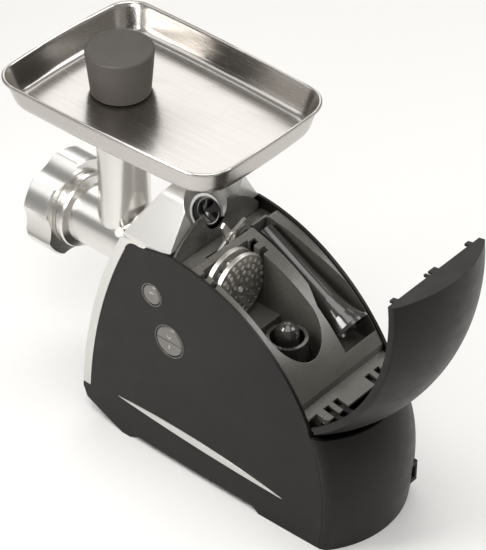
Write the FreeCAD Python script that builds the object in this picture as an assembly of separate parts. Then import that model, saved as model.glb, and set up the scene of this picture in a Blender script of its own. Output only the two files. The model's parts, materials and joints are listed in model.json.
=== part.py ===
import FreeCAD, Part
import math
import os

V = FreeCAD.Vector

# Electric meat grinder, millimetres.  It is drawn with the feed tube's axis at x = y = 0, the
# grinding head towards -Y, the lid's hinge towards +Y, the buttons on the +X side and the table
# at z = 0.  save() moves every piece so that the origin is under the middle of the whole machine.

# ---- driving dimensions -------------------------------------------------------------------
SHIFT_Y = -137.6            # moves the middle of the machine, lid open, to y = 0
AXIS_Z = 168.0              # axis of barrel, screw and output shaft
WALL = 2.6                  # moulded wall
SEAM = 0.3                  # gap between neighbouring covers

BASE_HALF = 62.7            # half width of the body at the table
LEAN = 0.0187               # the sides lean in by this much per mm of height
SIDE_BOW = 3.0              # the sides are this much wider in the middle than at their ends
FRONT_R, FRONT_Y, FRONT_Z = 494.0, 491.6, -1.8     # arc of the front, in the YZ plane
BEZEL = 9.0                 # width of the silver band seen from the side
BEZEL_FOOT_Z = 33.0         # where the silver band ends above the table
TOP_R, TOP_Y, TOP_Z = 179.0, 96.0, 48.0            # arc of the side panels' top edge
BAR_Y = 105.0               # rear of the silver neck
CREASE_Z = 226.0            # crease where the neck starts to narrow
DECK_DROP = 1.8             # the deck lies this far inside the panels' top edge
REAR_Y, REAR_Z, REAR_K = 284.0, 55.0, 0.0042       # rear corner profile: y = REAR_Y - K (z - Z)^2
REAR_BULGE = 22.0
LID_SEAM_Z, LID_DIP = 122.0, 7.0                  # rear cover's top edge and its dip
LID_HALF = 58.0
LID_RIM = 6.0
LID_CROWN = 17.5
HINGE_Y, HINGE_Z = 263.0, 124.0
LID_ARMS = (-36, -24, 18, 30)                      # where the lid's hinge arms start, in X
LID_OPEN = 79.0             # degrees from closed to the rest position drawn here

BARREL_R, BORE_R = 28.0, 24.0
COLLAR_R = 35.5             # barrel's front collar
THREAD_R = 34.0
BARREL_FRONT, BARREL_REAR = -77.0, 43.0
NUT_FRONT, NUT_REAR = -84.0, -54.0
NUT_LOBE_R, NUT_VALLEY_R, NUT_LOBES = 47.5, 40.0, 5
NUT_LOBE_AT = 32.0          # direction of one lobe, degrees from +X
TUBE_R, TUBE_BORE_R, TUBE_TOP = 23.0, 20.0, 314.0
PLATE_R, PLATE_T = 31.0, 4.5

TRAY_FLOOR_Z, TRAY_RIM_Z = 316.0, 344.0
TRAY_FRONT, TRAY_REAR = -70.0, 169.0
TRAY_HALF_FRONT, TRAY_HALF_REAR = 86.0, 78.5
TRAY_CORNER, TRAY_FLARE, SHEET = 26.0, 9.0, 1.2
PUSHER_TOP_Z, PUSHER_TOP_R, PUSHER_FOOT_R = 360.0, 29.7, 26.0

MOTOR_Z = 60.0              # motor shaft height
MODULE_FINE, MODULE_COARSE = 1.0, 1.25
PINION_A, GEAR_A = 12, 60   # motor pinion and first gear
PINION_B, GEAR_B = 13, 56
PINION_C, GEAR_C = 13, 47
IDLER_A_Z = MOTOR_Z + MODULE_FINE * (PINION_A + GEAR_A) / 2
IDLER_B_Z = IDLER_A_Z + MODULE_FINE * (PINION_B + GEAR_B) / 2


# ---- drawing helpers ----------------------------------------------------------------------
def box(x0, x1, y0, y1, z0, z1):
    return Part.makeBox(x1 - x0, y1 - y0, z1 - z0, V(x0, y0, z0))


def rod_x(y, z, r, x0, x1):
    return Part.makeCylinder(r, x1 - x0, V(x0, y, z), V(1, 0, 0))


def rod_y(x, z, r, y0, y1):
    return Part.makeCylinder(r, y1 - y0, V(x, y0, z), V(0, 1, 0))


def rod_z(x, y, r, z0, z1):
    return Part.makeCylinder(r, z1 - z0, V(x, y, z0), V(0, 0, 1))


def path(start, *legs):
    """Closed 2-D outline: a leg is a point for a line, or (middle, end) for an arc."""
    edges, here = [], V(*start, 0)
    for leg in list(legs) + [start]:
        if isinstance(leg[0], (tuple, list)):
            middle, end = V(*leg[0], 0), V(*leg[1], 0)
            edges.append(Part.Arc(here, middle, end).toShape())
        else:
            end = V(*leg, 0)
            if end.distanceToPoint(here) < 1e-6:
                continue
            edges.append(Part.LineSegment(here, end).toShape())
        here = end
    return Part.Wire(edges)


TO_YZ = FreeCAD.Matrix(0, 0, 1, 0, 1, 0, 0, 0, 0, 1, 0, 0, 0, 0, 0, 1)
TO_XZ = FreeCAD.Matrix(1, 0, 0, 0, 0, 0, -1, 0, 0, 1, 0, 0, 0, 0, 0, 1)


def prism_x(wire, x0, x1):
    """Outline in (y, z), pushed along X."""
    face = Part.Face(wire.transformGeometry(TO_YZ))
    face.translate(V(x0, 0, 0))
    return face.extrude(V(x1 - x0, 0, 0))


def prism_y(wire, y0, y1):
    """Outline in (x, z), pushed along Y."""
    face = Part.Face(wire.transformGeometry(TO_XZ))
    face.translate(V(0, y0, 0))
    return face.extrude(V(0, y1 - y0, 0))


def prism_z(wire, z0, z1):
    """Outline in (x, y), pushed along Z."""
    face = Part.Face(wire)
    face.translate(V(0, 0, z0))
    return face.extrude(V(0, 0, z1 - z0))


def turned(points, base, axis):
    """Solid of revolution: points are (distance along axis, radius)."""
    axis = V(*axis)
    side = V(1, 0, 0) if abs(axis.x) < 0.5 else V(0, 1, 0)
    base = V(*base)
    ring = [base + axis * a + side * r for a, r in points]
    wire = Part.makePolygon(ring + [ring[0]])
    return Part.Face(wire).revolve(base, axis, 360)


def fuse(*shapes):
    result = shapes[0].multiFuse(list(shapes[1:])) if len(shapes) > 1 else shapes[0]
    return result.removeSplitter()


def cut(shape, *tools):
    return shape.cut(list(tools))


def both_sides(shape):
    return [shape, shape.mirror(V(0, 0, 0), V(1, 0, 0))]


def turned_about_hinge(shape, degrees):
    shape = shape.copy()
    shape.rotate(V(0, HINGE_Y, HINGE_Z), V(1, 0, 0), degrees)
    return shape


def soften(shape, radius, wanted):
    """Round the edges that wanted() picks, one size down if the first does not fit."""
    edges = [edge for edge in shape.Edges if wanted(edge)]
    for size in (radius, radius * 0.6, radius * 0.3):
        try:
            rounded = shape.makeFillet(size, edges)
            if rounded.isValid() and rounded.Volume > 0:
                return rounded
        except Part.OCCError:
            pass
    print("soften: left sharp,", len(edges), "edges")
    return shape


BOUNDS = []


def save(name, shape):
    """Write one node, after testing that it is closed, valid solids."""
    shape = shape.copy()
    shape.translate(V(0, SHIFT_Y, 0))
    solids = shape.Solids
    good = bool(solids) and all(s.isValid() and s.isClosed() and s.Volume > 0 for s in solids)
    node = solids[0] if len(solids) == 1 else Part.makeCompound(solids)
    node.exportStep("parts/" + name + ".step")
    BOUNDS.append(node.BoundBox)
    print("%-22s %2d solid(s) %9.0f mm3 %s" % (name, len(solids), node.Volume, "" if good else "BAD"))


# ---- the body's outer form ----------------------------------------------------------------
def half_width(z):
    return BASE_HALF - LEAN * z


def rear_corner_y(z):
    if z > 124:
        steep = 2 * REAR_K * (124 - REAR_Z)
        return rear_corner_y(124) - steep * (z - 124)
    return REAR_Y - (REAR_K if z > REAR_Z else 0.35 * REAR_K) * (z - REAR_Z) ** 2


def plan_wire(z, inset):
    """Section of the body at one height: bowed sides, rounded rear corners, bulged rear."""
    w = half_width(z) - inset
    end = w - SIDE_BOW
    rear = rear_corner_y(z) - inset
    middle = rear + REAR_BULGE
    cut_back = 6.0
    slope = 2 * REAR_BULGE / end
    side_end = V(end + 0.2, rear - cut_back, z)
    rear_end = V(end - cut_back, rear + slope * cut_back * 0.93, z)
    corner = V(end, rear, z)
    blend = (side_end + rear_end) * 0.27 + corner * 0.46
    def left(p):
        return V(-p.x, p.y, z)
    front_right = V(end, -40, z)
    bow = V(w, 118, z)
    edges = [Part.LineSegment(left(front_right), front_right),
             Part.Arc(front_right, bow, side_end),
             Part.Arc(side_end, blend, rear_end),
             Part.Arc(rear_end, V(0, middle, z), left(rear_end)),
             Part.Arc(left(rear_end), left(blend), left(side_end)),
             Part.Arc(left(side_end), left(bow), left(front_right))]
    return Part.Wire([e.toShape() for e in edges])


def front_y(z, inset=0.0):
    return FRONT_Y - math.sqrt((FRONT_R - inset) ** 2 - (z - FRONT_Z) ** 2)


def top_z(y, drop=0.0):
    return TOP_Z + math.sqrt((TOP_R - drop) ** 2 - (y - TOP_Y) ** 2)


def tower(inset):
    """The body without its front, top and underside."""
    heights = (-6, 30, REAR_Z, 90, 124, 190, 290)
    return Part.makeLoft([plan_wire(z, inset) for z in heights], True, False)


def side_profile(inset, open_top):
    """Outline of the body seen from the side."""
    front = [front_y(z, inset) for z in (28, 125, 221)]
    legs = [((3 + inset, 17)), (front[0], 28), ((front[1], 125), (front[2], 221))]
    if open_top:
        legs += [(front[2], 320), (330, 320), (330, -10), (60, -10)]
    else:
        arc_from, arc_to = BAR_Y, 261.0
        middle = 190.0
        legs += [(arc_from, top_z(arc_from)),
                 ((middle, top_z(middle)), (arc_to, top_z(arc_to))),
                 (330, top_z(arc_to)), (330, 0), (208, 0), (202, 6), (62, 6), (56, 0)]
    return path((47 + inset, 0), *legs)


def make_body_shell():
    outer = tower(0).common(prism_x(side_profile(0, False), -90, 90))
    inner = tower(WALL).common(prism_x(side_profile(WALL, True), -90, 90))
    return outer.cut(inner)


def band_outline(inset):
    """Area of the dark side panel, seen from the side; inset > 0 makes it larger."""
    y = [front_y(z, BEZEL - inset) for z in (BEZEL_FOOT_Z + inset, 120, 210)]
    return path((-60, -20), (-60, BEZEL_FOOT_Z + inset), (y[0], BEZEL_FOOT_Z + inset),
                ((y[1], 120), (y[2], 210)), ((y[2] + 5, 218 + inset), (72, 220.5 + inset)),
                (BAR_Y + inset, 227.5 + inset), (BAR_Y + inset, 300), (340, 300), (340, -20))


def rear_outline(inset):
    """Area of the rear cover, seen from the side."""
    return path((268 + inset, -20), ((276 + inset, 58), (258.5 + inset, 121)), (262, 140), (360, 140),
                (360, -20))


def shell_pieces():
    """Split the body shell into its covers."""
    shell = make_body_shell()
    dark = prism_x(band_outline(-SEAM / 2), -90, 90)
    bright = prism_x(band_outline(SEAM / 2), -90, 90)
    rear_zone = prism_x(rear_outline(SEAM / 2), -90, 90)
    side_zone = prism_x(rear_outline(-SEAM / 2), -90, 90)
    seam_tool = rear_seam_cutter()
    sides = cut(shell.common(dark), side_zone)
    fascia = box(-FASCIA_HALF, FASCIA_HALF, -30, 45, 8, FASCIA_TOP)
    sides = cut(sides, box(-FASCIA_HALF - SEAM, FASCIA_HALF + SEAM, -30, 60, -10, 80))
    right = sides.common(box(0, 90, -60, 340, -10, 320))
    left = sides.common(box(-90, 0, -60, 340, -10, 320))
    rear = cut(shell.common(rear_zone), seam_tool)
    front_open = box(-FASCIA_HALF - SEAM, FASCIA_HALF + SEAM, -30, 45, -10, FASCIA_TOP + SEAM)
    front = cut(shell, bright, front_open)
    panel = shell.common(fascia)
    return right, left, rear, front, panel


FASCIA_HALF, FASCIA_TOP = 44.0, 112.0


def rear_seam_cutter():
    """Everything above the rear cover's dipping top edge."""
    ends = LID_SEAM_Z - 5.5
    wire = path((-80, 340), (-80, ends), (-LID_HALF, ends),
                ((0, LID_SEAM_Z - LID_DIP), (LID_HALF, ends)), (80, ends), (80, 340))
    return prism_y(wire, 150, 360)


def button_axis():
    """Centre and outward direction of the release button."""
    return V(0, 98, 238), V(0, 0.8, 0.6)


def button_disc(radius, start, end):
    centre, axis = button_axis()
    return Part.makeCylinder(radius, end - start, centre + axis * start, axis)


def neck_outline(inset):
    w, top = 56.8 - inset, 275.0 - inset
    return path((-w, CREASE_Z - 5), (-w, CREASE_Z), (-35.0 + inset * 0.6, 263.0 - inset * 0.8),
                ((-30.5 + inset * 0.4, 268.6 - inset), (-23 + inset * 0.2, 271.4 - inset)),
                ((0, top), (23 - inset * 0.2, 271.4 - inset)),
                ((30.5 - inset * 0.4, 268.6 - inset), (35.0 - inset * 0.6, 263.0 - inset * 0.8)),
                (w, CREASE_Z), (w, CREASE_Z - 5))


def front_zone(inset):
    """Everything behind the front arc, up to the neck's rear."""
    y = [front_y(z, inset) for z in (150, 225, 290)]
    return prism_x(path((y[0], 150), ((y[1], 225), (y[2], 290)), (BAR_Y - inset, 290),
                        (BAR_Y - inset, 150)), -90, 90)


def make_front_housing(front_shell):
    outer = prism_y(neck_outline(0), 20, 120).common(front_zone(0))
    outer = cut(outer, box(-90, 90, 0, 130, 0, CREASE_Z - 4))
    inner = prism_y(neck_outline(WALL), 20, 120).common(front_zone(WALL))
    centre, axis = button_axis()
    bowl = Part.makeCone(16.5, 48, 32, centre - axis * 4.0, axis)
    bowl_back = Part.makeCone(19.5, 51, 32, centre - axis * 6.6, axis)
    neck = fuse(outer.cut(inner), outer.common(bowl_back))
    neck = cut(neck, bowl, button_disc(13.5, -12, 12))
    neck = cut(neck, prism_x(band_outline(SEAM / 2), -90, 90))
    low_front = cut(front_shell, box(-90, 90, -60, 340, CREASE_Z - 4, 300))
    hub = cut(rod_y(0, AXIS_Z, HUB_R, HUB_FRONT, 44), rod_y(0, AXIS_Z, BARREL_R + 1.0, 0, 60))
    hub_hole = rod_y(0, AXIS_Z, BARREL_R + 1.0, 0, 60)
    return fuse(cut(fuse(low_front, hub), hub_hole), neck)


HUB_R, HUB_FRONT = 38.0, 25.6


def make_bulkhead():
    """Dark arched wall behind the neck, where the lid's front end lands."""
    wire = path((-54, 207), (-54, 222), ((0, 249), (54, 222)), (54, 207))
    wall = prism_y(wire, BAR_Y + SEAM, BAR_Y + SEAM + 2.4)
    return cut(wall, button_disc(15.5, -20, 30))


# ---- storage deck -------------------------------------------------------------------------
DECK_FRONT, DECK_REAR = 127.0, 247.0
BAY_X, BAY_HALF = 20.0, 28.0        # bay of plates and cone, middle and half width in X
BAY_FLOOR, CONE_FLOOR = 160.0, 124.0
CONE_Y = 203.0
FUNNEL_X = -33.0
PLATE_Y = (139.0, 150.0)
PLATE_Z = 196.0
KNIFE_X, KNIFE_Y, KNIFE_Z = -1.0, 122.0, 220.5
KNIFE_ARM, KNIFE_TURN = 22.5, -28.0


def deck_band(drop_top, drop_bottom, y0, y1, half):
    """Part of a cylinder wall under the top edge, between two depths."""
    def arc(drop, a, b):
        m = (a + b) / 2
        return (m, top_z(m, drop)), (b, top_z(b, drop))
    wire = path((y0, top_z(y0, drop_top)), arc(drop_top, y0, y1), (y1, top_z(y1, drop_bottom)),
                arc(drop_bottom, y1, y0))
    return prism_x(wire, -half, half)


def well(x, half, y0, y1, z0, grow=0.0, z1=300):
    """Upright well with a round rear end."""
    h = half + grow
    wire = path((x - h, y0 - grow), (x + h, y0 - grow), (x + h, y1 + grow - h * 0.9),
                ((x, y1 + grow), (x - h, y1 + grow - h * 0.9)))
    return prism_z(wire, z0 - grow, z1)


def funnel_cavity(grow, z_grow):
    """Space of the stuffing funnel: narrow in front, wide behind, sloping with the deck."""
    g = grow
    x0, x1 = FUNNEL_X - 20 - g, FUNNEL_X + 20 + g
    wire = path((FUNNEL_X - 10 - g, 125 - g), (FUNNEL_X + 10 + g, 125 - g), (FUNNEL_X + 13 + g, 192),
                (x1, 208), (x1, 239.5 + g), (x0, 239.5 + g), (x0, 206), (FUNNEL_X - 14 - g, 176))
    plan = prism_z(wire, 60, 300)
    floor = prism_x(path((100, 203 - z_grow), (130, 203 - z_grow), (196, 160 - z_grow), (206, 139 - z_grow),
                         (250, 139 - z_grow), (250, 300), (100, 300)), -90, 90)
    return plan.common(floor)


def make_storage_deck():
    thickness = 2.6
    inside = tower(WALL + SEAM)
    top = deck_band(DECK_DROP, DECK_DROP + thickness, DECK_FRONT, DECK_REAR, 70)
    trough = box(-70, 70, BAR_Y + 3.2, DECK_FRONT + 2, 212.5, 215.0)
    riser = box(-70, 70, DECK_FRONT, DECK_FRONT + 2.4, 212.5, top_z(DECK_FRONT, DECK_DROP) - 0.2)
    buried = DECK_DROP + 1.2
    under = prism_x(path((100, 60), (100, top_z(108, buried)),
                         ((180, top_z(180, buried)), (DECK_REAR, top_z(DECK_REAR, buried))),
                         (DECK_REAR + 3, 60)), -90, 90)
    bay = well(BAY_X, BAY_HALF, 134, 232, BAY_FLOOR)
    cone_well = well(BAY_X, BAY_HALF, 172, 232, CONE_FLOOR)
    walls = [well(BAY_X, BAY_HALF, 134, 232, BAY_FLOOR, 2.0),
             well(BAY_X, BAY_HALF, 172, 232, CONE_FLOOR, 2.0),
             funnel_cavity(2.0, 2.0)]
    walls = [w.common(under) for w in walls]
    body = fuse(top, trough, riser, *walls)
    rail = box(-54, 54, DECK_REAR - 2.4, DECK_REAR, 108, top_z(DECK_REAR, DECK_DROP + 1))
    body = fuse(body, rail)
    tools = [bay, cone_well, funnel_cavity(0, 0)]
    for y, radius in ((PLATE_Y[0], PLATE_R), (PLATE_Y[1], PLATE_R)):
        tools.append(rod_y(BAY_X, PLATE_Z, radius + 0.5, y - PLATE_T / 2 - 0.5, y + PLATE_T / 2 + 0.5))
        tools.append(box(BAY_X - PLATE_R - 4, BAY_X + PLATE_R + 4, y - PLATE_T / 2 - 0.5,
                         y + PLATE_T / 2 + 0.5, PLATE_Z, 300))
    slot = KNIFE_ARM + 2.0
    tools.append(box(KNIFE_X - slot, KNIFE_X + slot + 4, KNIFE_Y - 3.2, KNIFE_Y + 3.2, 199, 300))
    pocket = box(KNIFE_X - slot - 2, KNIFE_X + slot + 6, KNIFE_Y - 5.2, DECK_FRONT + 1, 197, 214)
    body = cut(fuse(body, pocket), *tools)
    pin = rod_x(HINGE_Y, HINGE_Z, 2.05, -80, 80)
    ears = [box(x, x + 5, DECK_REAR - 1, HINGE_Y, HINGE_Z - 4.5, HINGE_Z + 4.5) for x in (-44, 39)]
    ears += [rod_x(HINGE_Y, HINGE_Z, 4.5, x, x + 5) for x in (-44, 39)]
    ledge = prism_x(path((DECK_REAR - 2, 133.5), (DECK_REAR - 2, 131), (268, 127.2), (268, 129.7)), -54, 54)
    arm_slots = [box(x - 0.8, x + 5.8, 256, 280, 100, 150) for x in LID_ARMS]
    ends = [box(x, x + 11, 256, 280, 100, 150) for x in (-55, 44)]
    ledge = cut(ledge, rod_x(HINGE_Y, HINGE_Z, 3.0, -80, 80), *(arm_slots + ends))
    return cut(fuse(body.common(inside), ledge.common(inside), *ears), pin)


# ---- lid ----------------------------------------------------------------------------------
def lid_section(inset):
    """Outline across the lid at its front, x against radius from the top arc's centre."""
    edge, rim, crown = LID_HALF - inset, TOP_R + SEAM, TOP_R + SEAM + LID_RIM
    low = rim if inset == 0 else rim - 5
    top = crown + LID_CROWN - inset
    shoulder = crown - inset * 0.8
    return path((-edge, low), (-edge, shoulder), ((0, top), (edge, shoulder)), (edge, low))


def make_lid():
    def swept(inset, from_deg, to_deg):
        face = Part.Face(lid_section(inset).transformGeometry(TO_XZ))
        face.translate(V(0, TOP_Y, TOP_Z))
        face.rotate(V(0, TOP_Y, TOP_Z), V(1, 0, 0), -from_deg)
        return face.revolve(V(0, TOP_Y, TOP_Z), V(1, 0, 0), -(to_deg - from_deg))
    outer = swept(0, -4, 76)
    outer = soften(outer, 2.2, lambda e: e.BoundBox.YLength > 60 and e.BoundBox.ZMax > 230
                   and abs(e.BoundBox.XMin) > 50)
    inner = swept(WALL, -10, 85)
    front_y0 = BAR_Y + SEAM + 2.4 + SEAM
    lid = cut(outer, box(-90, 90, 0, front_y0, 0, 400))
    hollow = cut(inner, box(-90, 90, 0, front_y0 + WALL, 0, 400))
    lid = cut(lid, hollow)
    lower = path((-80, 60), (-80, LID_SEAM_Z + 2), (-50, LID_SEAM_Z + 1.5),
                 ((0, LID_SEAM_Z - LID_DIP + 1), (50, LID_SEAM_Z + 1.5)), (80, LID_SEAM_Z + 2), (80, 60))
    lid = cut(lid, prism_y(lower, 150, 360))
    arms = []
    for x in LID_ARMS:
        arms.append(box(x, x + 5, HINGE_Y - 3, HINGE_Y + 14, HINGE_Z - 4.5, HINGE_Z + 20).common(inner))
        arms.append(rod_x(HINGE_Y, HINGE_Z, 4.6, x, x + 5))
    pin = rod_x(HINGE_Y, HINGE_Z, 2.05, -80, 80)
    tabs = []
    for x, width in ((-50, 5), (-6, 8), (5, 2.5), (45, 5)):
        tabs.append(box(x, x + width, front_y0 + 0.2, front_y0 + 2.4, 222, 230))
    lid = cut(fuse(lid, *arms, *tabs), pin)
    return turned_about_hinge(lid, -LID_OPEN)


def make_lid_pin():
    return rod_x(HINGE_Y, HINGE_Z, 2.0, -44.5, 44.5)


# ---- small outside pieces -----------------------------------------------------------------
BASE_Z0, BASE_Z1 = 6.5, 9.5


def make_base_plate():
    plate = tower(WALL + SEAM).common(box(-90, 90, 34, 300, BASE_Z0, BASE_Z1))
    ledge = tower(WALL + SEAM).common(box(-90, 90, 60, 262, BASE_Z1 - 0.5, BASE_Z1 + 8))
    ledge = cut(ledge, tower(WALL + SEAM + 3))
    slots = [box(-26 + 8 * i, -22 + 8 * i, 150, 190, 0, 20) for i in range(7)]
    return cut(fuse(plate, ledge), *slots)


def foot_places():
    return [(x, y) for x in (-44, 44) for y in (62, 236)]


def make_rubber_feet():
    feet = [turned([(0, 0), (0, 8.5), (1.2, 9.5), (BASE_Z0, 9.5), (BASE_Z0, 0)], (x, y, 0), (0, 0, 1))
            for x, y in foot_places()]
    return Part.makeCompound(feet)


def side_surface(thickness, outline):
    """Thin piece lying on the +X side: the outline seen from the side, on the bowed wall."""
    outer = tower(-thickness).common(prism_x(outline, 20, 90))
    return outer.cut(tower(0.0))


def trim_outline():
    """Long lens with pointed ends."""
    return path((43, 41), ((125, 44.5), (234, 33.5)), ((125, 36.5), (43, 41)))


def make_side_trims():
    right = side_surface(0.7, trim_outline())
    return Part.makeCompound(both_sides(right))


POWER_AT, POWER_R = (106.0, 137.0), 15.0
REVERSE_AT, REVERSE_R = (86.0, 177.0), 10.0


def push_button(at, radius):
    """Cap with a rounded rim and a stem, along +X."""
    y, z = at
    x = half_width(z) - WALL
    cap = turned([(-7, 0), (-7, 4), (0, 4), (0, radius - 0.5), (WALL - 0.2, radius - 0.5),
                  (WALL + 0.5, radius - 1.2), (WALL + 0.7, radius - 2.6), (WALL + 0.2, 0)],
                 (x, y, z), (1, 0, 0))
    return cap


def make_power_button():
    y, z = POWER_AT
    x = half_width(z)
    groove = box(x - 0.6, x + 3, y - 20, y + 20, z - 0.45, z + 0.45)
    return cut(push_button(POWER_AT, POWER_R), groove)


def make_release_button():
    centre, axis = button_axis()
    cap = Part.makeCylinder(13.0, 9.0, centre - axis * 9.0, axis)
    dimple = Part.makeCone(0.5, 9.5, 4.5, centre - axis * 4.4, axis)
    stem = Part.makeCylinder(3.5, 22, centre - axis * 30, axis)
    cap = soften(cap, 1.2, lambda e: e.BoundBox.ZMax > 247)
    return fuse(cut(cap, dimple), stem)


def coil(axis_base, axis, radius, wire_r, turns, length):
    """Spring drawn as a tube of its own outer size with a spiral groove left out."""
    outer = Part.makeCylinder(radius + wire_r, length, axis_base, axis)
    inner = Part.makeCylinder(radius - wire_r, length, axis_base, axis)
    gap = length / (2 * turns)
    grooves = [cut(Part.makeCylinder(radius + 2 * wire_r, gap,
                                     axis_base + axis * (gap * (2 * i + 0.5)), axis),
                   Part.makeCylinder(radius, gap, axis_base + axis * (gap * (2 * i + 0.5)), axis))
               for i in range(turns)]
    return cut(outer, inner, *grooves)


def make_release_spring():
    centre, axis = button_axis()
    return coil(centre - axis * 22.4, axis, 5.2, 0.6, 6, 13.2)


def make_latch_plate():
    """Bracket behind the release button that carries its spring and guides its stem."""
    centre, axis = button_axis()
    plate = Part.makeCylinder(12, 2.2, centre - axis * 24.8, axis)
    plate = cut(plate, Part.makeCylinder(3.7, 10, centre - axis * 28, axis))
    post = box(-9, 9, 70, 92, 207, 224)
    post = post.common(Part.makeCylinder(40, 40, centre - axis * 64.8, axis))
    post = cut(post, Part.makeCylinder(5, 60, centre - axis * 60, axis))
    return fuse(plate, post)


CORD_X, CORD_Z = -42.0, 30.0


def make_cord_gland():
    """Upright slotted grommet low on the rear where the mains lead comes out."""
    y = rear_corner_y(CORD_Z) + REAR_BULGE * (1 - (CORD_X / 59) ** 2)
    wire = path((CORD_X - 5, y - 7), (CORD_X + 5, y - 7), (CORD_X + 5, y + 1.5), (CORD_X - 5, y + 1.5))
    gland = prism_z(wire, CORD_Z - 11, CORD_Z + 11)
    hole = box(CORD_X - 2.6, CORD_X + 2.6, y - 20, y + 20, CORD_Z - 7, CORD_Z + 7)
    return cut(gland, hole)


def cord_opening():
    y = rear_corner_y(CORD_Z) + REAR_BULGE * (1 - (CORD_X / 59) ** 2)
    return box(CORD_X - 5.2, CORD_X + 5.2, y - 12, y + 12, CORD_Z - 11.2, CORD_Z + 11.2)


# ---- motor and gears ----------------------------------------------------------------------
CASE_Y0, CASE_Y1, CASE_R = 52.0, 104.0, 34.5
MOTOR_Y1 = 214.0


def make_gear(teeth, module, y0, y1, z, turn=0.0, bore=0.0):
    """Spur gear along Y; a tooth points up (+Z) when turn is 0."""
    r = teeth * module / 2
    root, tip, pitch = r - 1.25 * module, r + 0.85 * module, 2 * math.pi / teeth
    flank = ((root, 0.29), (r, 0.195), (tip, 0.09))
    points = []
    for i in range(teeth):
        a = math.radians(90 + turn) + i * pitch
        for sign, order in ((-1, flank), (1, flank[::-1])):
            for radius, share in order:
                b = a + sign * share * pitch
                points.append(V(radius * math.cos(b), y0, z + radius * math.sin(b)))
    face = Part.Face(Part.makePolygon(points + [points[0]]))
    gear = face.extrude(V(0, y1 - y0, 0))
    if bore:
        gear = cut(gear, rod_y(0, z, bore, y0 - 1, y1 + 1))
    return gear


def half_tooth(teeth):
    return 180.0 / teeth


def pointing_down(teeth):
    """Extra turn that puts a tooth at -Z."""
    return 0.0 if teeth % 2 == 0 else half_tooth(teeth)


def make_rotor_shaft():
    shaft = rod_y(0, MOTOR_Z, 4.0, 55.0, MOTOR_Y1 - 2)
    pinion = make_gear(PINION_A, MODULE_FINE, 86, 97.5, MOTOR_Z, 0.0)
    return fuse(shaft, pinion)


def make_idler_a():
    """First idler: big wheel driven by the motor pinion, small pinion behind it."""
    big = make_gear(GEAR_A, MODULE_FINE, 88, 97, IDLER_A_Z, pointing_down(GEAR_A) + half_tooth(GEAR_A))
    small = make_gear(PINION_B, MODULE_FINE, 74, 88.5, IDLER_A_Z, 0.0)
    return cut(fuse(big, small), rod_y(0, IDLER_A_Z, 3.05, 60, 110))


def make_idler_b():
    big = make_gear(GEAR_B, MODULE_FINE, 76, 86, IDLER_B_Z, pointing_down(GEAR_B) + half_tooth(GEAR_B))
    small = make_gear(PINION_C, MODULE_COARSE, 58, 76.5, IDLER_B_Z, 0.0)
    return cut(fuse(big, small), rod_y(0, IDLER_B_Z, 3.05, 50, 110))


def make_output_gear():
    turn = pointing_down(GEAR_C) + half_tooth(GEAR_C)
    return cut(make_gear(GEAR_C, MODULE_COARSE, 60, 74, AXIS_Z, turn), rod_y(0, AXIS_Z, 8, 50, 110))


def make_idler_pins():
    return Part.makeCompound([rod_y(0, z, 3.0, CASE_Y0 + 3, CASE_Y1 - 3) for z in (IDLER_A_Z, IDLER_B_Z)])


def make_output_shaft():
    """Steel shaft that carries the output gear and ends in a square socket for the screw."""
    shaft = fuse(rod_y(0, AXIS_Z, 8, 44, CASE_Y1), rod_y(0, AXIS_Z, JOURNAL_R, 44, CASE_Y0 + 4))
    socket = box(-4.6, 4.6, 30, 56, AXIS_Z - 4.6, AXIS_Z + 4.6)
    return cut(shaft, socket)


def case_outline(r):
    top, low = AXIS_Z, MOTOR_Z + 14
    return path((r, low), (r, top), ((0, top + r), (-r, top)), (-r, low), ((0, low - r), (r, low)))


JOURNAL_R, MAIN_BUSH_R, REAR_BUSH_R, SMALL_BUSH_R = 11.0, 14.0, 11.0, 8.0
RUNNING = 0.05              # radial clearance of a shaft in its bush


def make_gear_case():
    """Front half of the gearbox: a stadium-shaped tub, open to the rear."""
    tub = prism_y(case_outline(CASE_R + 3), CASE_Y0, CASE_Y1 - 3)
    tub = cut(tub, prism_y(case_outline(CASE_R), CASE_Y0 + 3, CASE_Y1),
              rod_y(0, AXIS_Z, MAIN_BUSH_R, 40, 60))
    lugs = [box(x - 5.5, x + 5.5, CASE_Y1 - 12, CASE_Y1 - 3, z - 5, z + 5)
            for x in (-38, 38) for z in (80, 160)]
    lugs = [cut(l, prism_y(case_outline(CASE_R + 1), 0, 200)) for l in lugs]
    return fuse(tub, *lugs)


def make_gear_cover():
    """Rear half of the gearbox; the motor's front bearing sits in it."""
    plate = fuse(prism_y(case_outline(CASE_R + 3), CASE_Y1 - 3, CASE_Y1),
                 *[box(x - 5.5, x + 5.5, CASE_Y1 - 3, CASE_Y1, z - 5, z + 5)
                   for x in (-38, 38) for z in (80, 160)])
    return cut(plate, rod_y(0, MOTOR_Z, SMALL_BUSH_R, 90, 120), rod_y(0, AXIS_Z, REAR_BUSH_R, 90, 120))


def ring_y(z, r_in, r_out, y0, y1, x=0.0):
    return cut(rod_y(x, z, r_out, y0, y1), rod_y(x, z, r_in, y0 - 1, y1 + 1))


def make_bearings():
    """Bushes of the motor shaft, front and rear, and the output shaft's main bearing."""
    return Part.makeCompound([ring_y(MOTOR_Z, 4.0 + RUNNING, SMALL_BUSH_R, CASE_Y1 - 3, CASE_Y1 + 3),
                              ring_y(MOTOR_Z, 4.0 + RUNNING, SMALL_BUSH_R, 206, 212),
                              ring_y(AXIS_Z, JOURNAL_R + RUNNING, MAIN_BUSH_R, CASE_Y0 - 5, CASE_Y0 + 3),
                              ring_y(AXIS_Z, 8.0 + RUNNING, REAR_BUSH_R, CASE_Y1 - 3, CASE_Y1)])


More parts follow.
